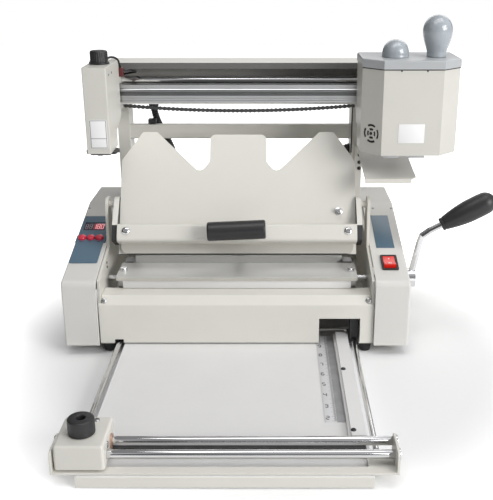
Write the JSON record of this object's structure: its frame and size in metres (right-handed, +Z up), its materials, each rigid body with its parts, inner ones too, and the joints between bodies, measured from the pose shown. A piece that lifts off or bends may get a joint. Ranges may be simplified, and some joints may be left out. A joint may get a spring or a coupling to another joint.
{
  "type": "desktop perfect binding machine",
  "caption": "Desktop hot-melt book binder with a turning page clamp, sliding milling and glue heads, lever-closed nip jaws and a sliding creasing table.",
  "frame": {"origin": "on the ground, under the middle of the footprint's bounding box", "axes": "+Z up, +X to the operator's right, +Y from the operator towards the back"},
  "size_m": [0.5942, 0.612, 0.4463],
  "materials": {
    "cream_paint": "fine textured cream enamel",
    "white_paint": "smooth off-white enamel",
    "grey_plastic": "moulded grey plastic",
    "chrome": "polished chrome",
    "aluminium": "brushed extrusion",
    "steel": "machined steel",
    "black_plastic": "matt black plastic",
    "black_paint": "black coated metal",
    "rubber": "black rubber",
    "blue_panel": "blue plate",
    "red_plastic": "glossy red plastic"
  },
  "bodies": {
    "frame": {"left_side_plate": "white_paint", "right_side_plate": "white_paint", "left_cover": "cream_paint", "right_cover": "cream_paint", "foot_front_left": "rubber", "foot_front_right": "rubber", "foot_rear_left": "rubber", "foot_rear_right": "rubber", "front_panel": "cream_paint", "base_plate": "white_paint", "rear_housing": "cream_paint", "mains_inlet": "black_plastic", "column_frame": "cream_paint", "beam": "white_paint", "guide_rod": "chrome", "lower_rail": "aluminium", "head_chain": "steel", "cable_conduit": "black_plastic", "drip_tray": "cream_paint", "front_nip_plate": "white_paint", "nip_supports": "black_paint", "control_panel": "blue_panel", "switch_bezel": "black_plastic"},
    "mill_head": {"mill_housing": "cream_paint", "mill_motor": "steel", "mill_carriage": "aluminium"},
    "cutter": {"mill_cutter": "steel"},
    "depth_knob": {"mill_knob": "black_plastic"},
    "glue_head": {"glue_housing": "cream_paint", "glue_cap": "grey_plastic", "egg_handle": "grey_plastic", "glue_tank": "aluminium", "glue_carriage": "aluminium"},
    "roller": {"glue_roller": "steel"},
    "sprocket": {"chain_sprocket": "steel"},
    "lid": {"filler_lid": "grey_plastic"},
    "clamp": {"page_rest": "white_paint", "rear_jaw": "cream_paint", "left_end_plate": "black_paint", "right_end_plate": "black_paint"},
    "moving_jaw": {"front_jaw": "white_paint"},
    "jaw_screw": {"clamp_screw": "steel", "tee_handle": "black_plastic"},
    "nip_bar": {"rear_nip_bar": "aluminium"},
    "lever": {"press_lever": "chrome", "lever_grip": "black_plastic"},
    "power_rocker": {"rocker": "red_plastic"},
    "left_button": {"button_left": "red_plastic"},
    "middle_button": {"button_middle": "red_plastic"},
    "right_button": {"button_right": "red_plastic"},
    "table": {"crease_table": "cream_paint", "drawer_frame": "chrome", "end_bracket": "cream_paint", "rear_cross_bar": "chrome", "front_cross_bar": "chrome", "crease_strip": "rubber", "paper_fence": "cream_paint"},
    "crease_carriage": {"carriage_block": "cream_paint"},
    "crease_roller": {"crease_wheel": "steel"},
    "carriage_handle": {"carriage_knob": "black_plastic"}
  },
  "joints": [
    {"name": "mill_slide", "type": "slide", "parent": "frame", "child": "mill_head", "axis": [1, 0, 0], "range_m": [0, 0.26]},
    {"name": "cutter_spin", "type": "hinge", "parent": "mill_head", "child": "cutter", "pos_m": [-0.24932, 0.108, 0.2637], "axis": [0, 0, 1], "continuous": true},
    {"name": "depth_knob_turn", "type": "hinge", "parent": "mill_head", "child": "depth_knob", "pos_m": [-0.24932, 0.122, 0.38], "axis": [0, 0, 1], "continuous": true},
    {"name": "glue_slide", "type": "slide", "parent": "frame", "child": "glue_head", "axis": [1, 0, 0], "range_m": [-0.26, 0]},
    {"name": "roller_spin", "type": "hinge", "parent": "glue_head", "child": "roller", "pos_m": [0.18093, 0.11, 0.2745], "axis": [0, 1, 0], "range_deg": [-1066, 0]},
    {"name": "sprocket_spin", "type": "hinge", "parent": "glue_head", "child": "sprocket", "pos_m": [0.16692, 0.18, 0.28723], "axis": [0, 1, 0], "range_deg": [0, 1452]},
    {"name": "lid_lift", "type": "slide", "parent": "glue_head", "child": "lid", "axis": [0, 0, 1], "range_m": [0, 0.06]},
    {"name": "clamp_tilt", "type": "hinge", "parent": "frame", "child": "clamp", "pos_m": [-0.06207, 0.108, 0.185], "axis": [1, 0, 0], "range_deg": [-150, 0]},
    {"name": "jaw_slide", "type": "slide", "parent": "clamp", "child": "moving_jaw", "axis": [0, -0.866, 0.5], "range_m": [0, 0.045]},
    {"name": "jaw_screw_turn", "type": "hinge", "parent": "moving_jaw", "child": "jaw_screw", "pos_m": [-0.06207, 0.084, 0.14343], "axis": [0, 0.866, -0.5], "range_deg": [0, 2701]},
    {"name": "lever_pull", "type": "hinge", "parent": "frame", "child": "lever", "pos_m": [-0.06207, 0.07, 0.08715], "axis": [1, 0, 0], "range_deg": [0, 68]},
    {"name": "nip_close", "type": "slide", "parent": "frame", "child": "nip_bar", "axis": [0, -1, 0], "range_m": [0, 0.0073]},
    {"name": "power_rock", "type": "hinge", "parent": "frame", "child": "power_rocker", "pos_m": [0.14893, 0.04684, 0.11334], "axis": [1, 0, 0], "range_deg": [0, 18]},
    {"name": "left_button_press", "type": "slide", "parent": "frame", "child": "left_button", "axis": [0, 0.2382, -0.9712], "range_m": [0, 0.0012], "stiffness_N_per_m": 300, "springref_m": -0.002},
    {"name": "middle_button_press", "type": "slide", "parent": "frame", "child": "middle_button", "axis": [0, 0.2382, -0.9712], "range_m": [0, 0.0012], "stiffness_N_per_m": 300, "springref_m": -0.002},
    {"name": "right_button_press", "type": "slide", "parent": "frame", "child": "right_button", "axis": [0, 0.2382, -0.9712], "range_m": [0, 0.0012], "stiffness_N_per_m": 300, "springref_m": -0.002},
    {"name": "table_slide", "type": "slide", "parent": "frame", "child": "table", "axis": [0, 1, 0], "range_m": [0, 0.23]},
    {"name": "crease_slide", "type": "slide", "parent": "table", "child": "crease_carriage", "axis": [1, 0, 0], "range_m": [0, 0.3]},
    {"name": "crease_wheel_spin", "type": "hinge", "parent": "crease_carriage", "child": "crease_roller", "pos_m": [-0.21208, -0.2517, 0.0257], "axis": [0, 1, 0], "range_deg": [0, 2002]},
    {"name": "carriage_knob_turn", "type": "hinge", "parent": "crease_carriage", "child": "carriage_handle", "pos_m": [-0.21357, -0.274, 0.047], "axis": [0, 0, 1], "continuous": true}
  ],
  "couplings": [
    {"joint": "roller_spin", "follows": "glue_slide", "rad_per_m": 71.429},
    {"joint": "sprocket_spin", "follows": "glue_slide", "rad_per_m": -97.32},
    {"joint": "jaw_screw_turn", "follows": "jaw_slide", "rad_per_m": 1047.2},
    {"joint": "nip_close", "follows": "lever_pull", "m_per_rad": 0.006},
    {"joint": "crease_wheel_spin", "follows": "crease_slide", "rad_per_m": 116.28}
  ]
}
